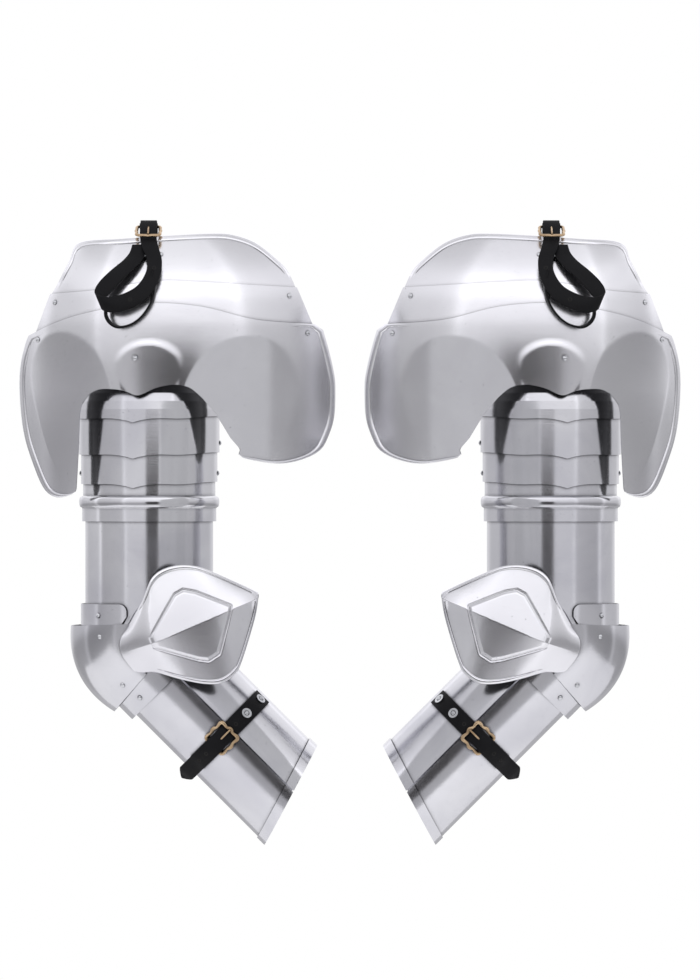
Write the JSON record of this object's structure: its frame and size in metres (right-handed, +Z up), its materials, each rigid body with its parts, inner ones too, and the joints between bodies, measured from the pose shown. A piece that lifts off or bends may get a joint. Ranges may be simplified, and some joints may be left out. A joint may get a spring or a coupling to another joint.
{
  "type": "arm harness pair",
  "caption": "Pair of polished plate arm harnesses: lamed pauldrons, turning cannons, winged elbow cops and buckled two-shell vambraces hung from black leather shoulder straps.",
  "frame": {"origin": "middle of the pair, on the line of the shoulder buckles, where a hanging bar carries both shoulder straps", "axes": "+X towards the left arm's side, +Y towards the wearer's side of the plates, away from the outer faces, +Z up"},
  "size_m": [0.698, 0.1909, 0.6593],
  "materials": {
    "polished_steel": "polished with fine brush marks",
    "rivet_steel": "polished",
    "black_leather": "smooth finished",
    "buckle_brass": "cast, lightly worn"
  },
  "bodies": {
    "shoulders": {"right_collar_plate": "polished_steel", "right_collar_rivets": "rivet_steel", "right_shoulder_strap": "black_leather", "right_shoulder_chape": "black_leather", "left_collar_plate": "polished_steel", "left_collar_rivets": "rivet_steel", "left_shoulder_strap": "black_leather", "left_shoulder_chape": "black_leather"},
    "right_shoulder_frame": {"right_shoulder_buckle": "buckle_brass"},
    "right_shoulder_tongue": {"right_shoulder_prong": "buckle_brass"},
    "right_lame": {"right_pauldron_lame": "polished_steel"},
    "right_pauldron": {"right_pauldron_plate": "polished_steel", "right_pauldron_rivets": "rivet_steel"},
    "right_leather": {"right_hanging_leather": "black_leather"},
    "right_arm_top": {"right_arm_lame_top": "polished_steel", "right_arm_rivets_upper": "rivet_steel"},
    "right_arm_middle": {"right_arm_lame_middle": "polished_steel"},
    "right_arm_bottom": {"right_arm_lame_bottom": "polished_steel", "right_arm_rivets_lower": "rivet_steel"},
    "right_upper_arm": {"right_upper_cannon": "polished_steel"},
    "right_lower_arm": {"right_lower_cannon": "polished_steel"},
    "right_elbow_top": {"right_couter_upper_lame": "polished_steel", "right_upper_elbow_rivets": "rivet_steel"},
    "right_elbow": {"right_couter": "polished_steel", "right_couter_rivets": "rivet_steel"},
    "right_elbow_low": {"right_couter_lower_lame": "polished_steel"},
    "right_forearm": {"right_vambrace_rear_shell": "polished_steel", "right_vambrace_rear_rivets": "rivet_steel", "right_vambrace_chape": "black_leather"},
    "right_forearm_front": {"right_vambrace_front_shell": "polished_steel", "right_vambrace_front_rivets": "rivet_steel", "right_vambrace_strap": "black_leather"},
    "right_fore_frame": {"right_vambrace_buckle": "buckle_brass"},
    "right_fore_tongue": {"right_vambrace_prong": "buckle_brass"},
    "left_shoulder_frame": {"left_shoulder_buckle": "buckle_brass"},
    "left_shoulder_tongue": {"left_shoulder_prong": "buckle_brass"},
    "left_lame": {"left_pauldron_lame": "polished_steel"},
    "left_pauldron": {"left_pauldron_plate": "polished_steel", "left_pauldron_rivets": "rivet_steel"},
    "left_leather": {"left_hanging_leather": "black_leather"},
    "left_arm_top": {"left_arm_lame_top": "polished_steel", "left_arm_rivets_upper": "rivet_steel"},
    "left_arm_middle": {"left_arm_lame_middle": "polished_steel"},
    "left_arm_bottom": {"left_arm_lame_bottom": "polished_steel", "left_arm_rivets_lower": "rivet_steel"},
    "left_upper_arm": {"left_upper_cannon": "polished_steel"},
    "left_lower_arm": {"left_lower_cannon": "polished_steel"},
    "left_elbow_top": {"left_couter_upper_lame": "polished_steel", "left_upper_elbow_rivets": "rivet_steel"},
    "left_elbow": {"left_couter": "polished_steel", "left_couter_rivets": "rivet_steel"},
    "left_elbow_low": {"left_couter_lower_lame": "polished_steel"},
    "left_forearm": {"left_vambrace_rear_shell": "polished_steel", "left_vambrace_rear_rivets": "rivet_steel", "left_vambrace_chape": "black_leather"},
    "left_forearm_front": {"left_vambrace_front_shell": "polished_steel", "left_vambrace_front_rivets": "rivet_steel", "left_vambrace_strap": "black_leather"},
    "left_fore_frame": {"left_vambrace_buckle": "buckle_brass"},
    "left_fore_tongue": {"left_vambrace_prong": "buckle_brass"}
  },
  "joints": [
    {"name": "right_shoulder_buckle_swing", "type": "hinge", "parent": "shoulders", "child": "right_shoulder_frame", "pos_m": [-0.2116, -0.05069, 0.00604], "axis": [-1, 0, 0], "range_deg": [0, 35], "deforming": ["right_shoulder_strap"]},
    {"name": "right_shoulder_prong_swing", "type": "hinge", "parent": "right_shoulder_frame", "child": "right_shoulder_tongue", "pos_m": [-0.2116, -0.05069, 0.00604], "axis": [-1, 0, 0], "range_deg": [0, 50]},
    {"name": "right_collar_slide", "type": "hinge", "parent": "shoulders", "child": "right_lame", "pos_m": [-0.2126, 0.08, -0.1], "axis": [1, 0, 0], "range_deg": [-2.5, 2.5]},
    {"name": "right_lame_slide", "type": "hinge", "parent": "right_lame", "child": "right_pauldron", "pos_m": [-0.2126, 0.08, -0.1], "axis": [1, 0, 0], "range_deg": [-2.5, 2.5]},
    {"name": "right_arm_swing", "type": "hinge", "parent": "right_pauldron", "child": "right_leather", "pos_m": [-0.2246, -0.094, -0.133], "axis": [0, 1, 0], "range_deg": [-6, 6]},
    {"name": "right_arm_hang", "type": "hinge", "parent": "right_leather", "child": "right_arm_top", "pos_m": [-0.2246, -0.08, -0.156], "axis": [1, 0, 0], "range_deg": [-2, 6], "deforming": ["right_hanging_leather"]},
    {"name": "right_arm_lame_pivot", "type": "hinge", "parent": "right_arm_top", "child": "right_arm_middle", "pos_m": [-0.2126, 0, -0.186], "axis": [1, 0, 0], "range_deg": [-3, 6]},
    {"name": "right_arm_lame_pivot_2", "type": "hinge", "parent": "right_arm_middle", "child": "right_arm_bottom", "pos_m": [-0.2126, 0, -0.221], "axis": [1, 0, 0], "range_deg": [-3, 6]},
    {"name": "right_cannon_pivot", "type": "hinge", "parent": "right_arm_bottom", "child": "right_upper_arm", "pos_m": [-0.2126, 0, -0.253], "axis": [1, 0, 0], "range_deg": [-3, 6]},
    {"name": "right_turner", "type": "hinge", "parent": "right_upper_arm", "child": "right_lower_arm", "pos_m": [-0.2126, 0, -0.283], "axis": [0, 0, 1], "range_deg": [-30, 30]},
    {"name": "right_elbow_bend", "type": "hinge", "parent": "right_lower_arm", "child": "right_elbow_top", "pos_m": [-0.2646, 0, -0.403], "axis": [0, -1, 0], "range_deg": [-6, 6]},
    {"name": "right_elbow_bend_2", "type": "hinge", "parent": "right_elbow_top", "child": "right_elbow", "pos_m": [-0.2626, 0, -0.425], "axis": [0, -1, 0], "range_deg": [-6, 6]},
    {"name": "right_elbow_bend_3", "type": "hinge", "parent": "right_elbow", "child": "right_elbow_low", "pos_m": [-0.23876, 0, -0.47582], "axis": [0, -1, 0], "range_deg": [-6, 6]},
    {"name": "right_elbow_bend_4", "type": "hinge", "parent": "right_elbow_low", "child": "right_forearm", "pos_m": [-0.22109, 0, -0.48925], "axis": [0, -1, 0], "range_deg": [-6, 6]},
    {"name": "right_vambrace_opening", "type": "hinge", "parent": "right_forearm", "child": "right_forearm_front", "pos_m": [-0.11587, 0.057, -0.53112], "axis": [-0.7071, 0, 0.7071], "range_deg": [0, 40], "deforming": ["right_vambrace_strap"]},
    {"name": "right_buckle_swing", "type": "hinge", "parent": "right_forearm", "child": "right_fore_frame", "pos_m": [-0.14327, -0.05682, -0.54013], "axis": [0.7071, 0, -0.7071], "range_deg": [0, 40]},
    {"name": "right_prong_swing", "type": "hinge", "parent": "right_fore_frame", "child": "right_fore_tongue", "pos_m": [-0.14327, -0.05682, -0.54013], "axis": [0.7071, 0, -0.7071], "range_deg": [0, 50]},
    {"name": "left_shoulder_buckle_swing", "type": "hinge", "parent": "shoulders", "child": "left_shoulder_frame", "pos_m": [0.2116, -0.05069, 0.00604], "axis": [-1, 0, 0], "range_deg": [0, 35], "deforming": ["left_shoulder_strap"]},
    {"name": "left_shoulder_prong_swing", "type": "hinge", "parent": "left_shoulder_frame", "child": "left_shoulder_tongue", "pos_m": [0.2116, -0.05069, 0.00604], "axis": [-1, 0, 0], "range_deg": [0, 50]},
    {"name": "left_collar_slide", "type": "hinge", "parent": "shoulders", "child": "left_lame", "pos_m": [0.2126, 0.08, -0.1], "axis": [1, 0, 0], "range_deg": [-2.5, 2.5]},
    {"name": "left_lame_slide", "type": "hinge", "parent": "left_lame", "child": "left_pauldron", "pos_m": [0.2126, 0.08, -0.1], "axis": [1, 0, 0], "range_deg": [-2.5, 2.5]},
    {"name": "left_arm_swing", "type": "hinge", "parent": "left_pauldron", "child": "left_leather", "pos_m": [0.2246, -0.094, -0.133], "axis": [0, -1, 0], "range_deg": [-6, 6]},
    {"name": "left_arm_hang", "type": "hinge", "parent": "left_leather", "child": "left_arm_top", "pos_m": [0.2246, -0.08, -0.156], "axis": [1, 0, 0], "range_deg": [-2, 6], "deforming": ["left_hanging_leather"]},
    {"name": "left_arm_lame_pivot", "type": "hinge", "parent": "left_arm_top", "child": "left_arm_middle", "pos_m": [0.2126, 0, -0.186], "axis": [1, 0, 0], "range_deg": [-3, 6]},
    {"name": "left_arm_lame_pivot_2", "type": "hinge", "parent": "left_arm_middle", "child": "left_arm_bottom", "pos_m": [0.2126, 0, -0.221], "axis": [1, 0, 0], "range_deg": [-3, 6]},
    {"name": "left_cannon_pivot", "type": "hinge", "parent": "left_arm_bottom", "child": "left_upper_arm", "pos_m": [0.2126, 0, -0.253], "axis": [1, 0, 0], "range_deg": [-3, 6]},
    {"name": "left_turner", "type": "hinge", "parent": "left_upper_arm", "child": "left_lower_arm", "pos_m": [0.2126, 0, -0.283], "axis": [0, 0, -1], "range_deg": [-30, 30]},
    {"name": "left_elbow_bend", "type": "hinge", "parent": "left_lower_arm", "child": "left_elbow_top", "pos_m": [0.2646, 0, -0.403], "axis": [0, 1, 0], "range_deg": [-6, 6]},
    {"name": "left_elbow_bend_2", "type": "hinge", "parent": "left_elbow_top", "child": "left_elbow", "pos_m": [0.2626, 0, -0.425], "axis": [0, 1, 0], "range_deg": [-6, 6]},
    {"name": "left_elbow_bend_3", "type": "hinge", "parent": "left_elbow", "child": "left_elbow_low", "pos_m": [0.23876, 0, -0.47582], "axis": [0, 1, 0], "range_deg": [-6, 6]},
    {"name": "left_elbow_bend_4", "type": "hinge", "parent": "left_elbow_low", "child": "left_forearm", "pos_m": [0.22109, 0, -0.48925], "axis": [0, 1, 0], "range_deg": [-6, 6]},
    {"name": "left_vambrace_opening", "type": "hinge", "parent": "left_forearm", "child": "left_forearm_front", "pos_m": [0.11587, 0.057, -0.53112], "axis": [-0.7071, 0, -0.7071], "range_deg": [0, 40], "deforming": ["left_vambrace_strap"]},
    {"name": "left_buckle_swing", "type": "hinge", "parent": "left_forearm", "child": "left_fore_frame", "pos_m": [0.14327, -0.05682, -0.54013], "axis": [0.7071, 0, 0.7071], "range_deg": [0, 40]},
    {"name": "left_prong_swing", "type": "hinge", "parent": "left_fore_frame", "child": "left_fore_tongue", "pos_m": [0.14327, -0.05682, -0.54013], "axis": [0.7071, 0, 0.7071], "range_deg": [0, 50]}
  ],
  "couplings": [
    {"joint": "right_elbow_bend_2", "follows": "right_elbow_bend", "ratio": 1},
    {"joint": "right_elbow_bend_3", "follows": "right_elbow_bend", "ratio": 1},
    {"joint": "right_elbow_bend_4", "follows": "right_elbow_bend", "ratio": 1},
    {"joint": "right_arm_lame_pivot_2", "follows": "right_arm_lame_pivot", "ratio": 1},
    {"joint": "right_cannon_pivot", "follows": "right_arm_lame_pivot", "ratio": 1},
    {"joint": "left_elbow_bend_2", "follows": "left_elbow_bend", "ratio": 1},
    {"joint": "left_elbow_bend_3", "follows": "left_elbow_bend", "ratio": 1},
    {"joint": "left_elbow_bend_4", "follows": "left_elbow_bend", "ratio": 1},
    {"joint": "left_arm_lame_pivot_2", "follows": "left_arm_lame_pivot", "ratio": 1},
    {"joint": "left_cannon_pivot", "follows": "left_arm_lame_pivot", "ratio": 1}
  ]
}
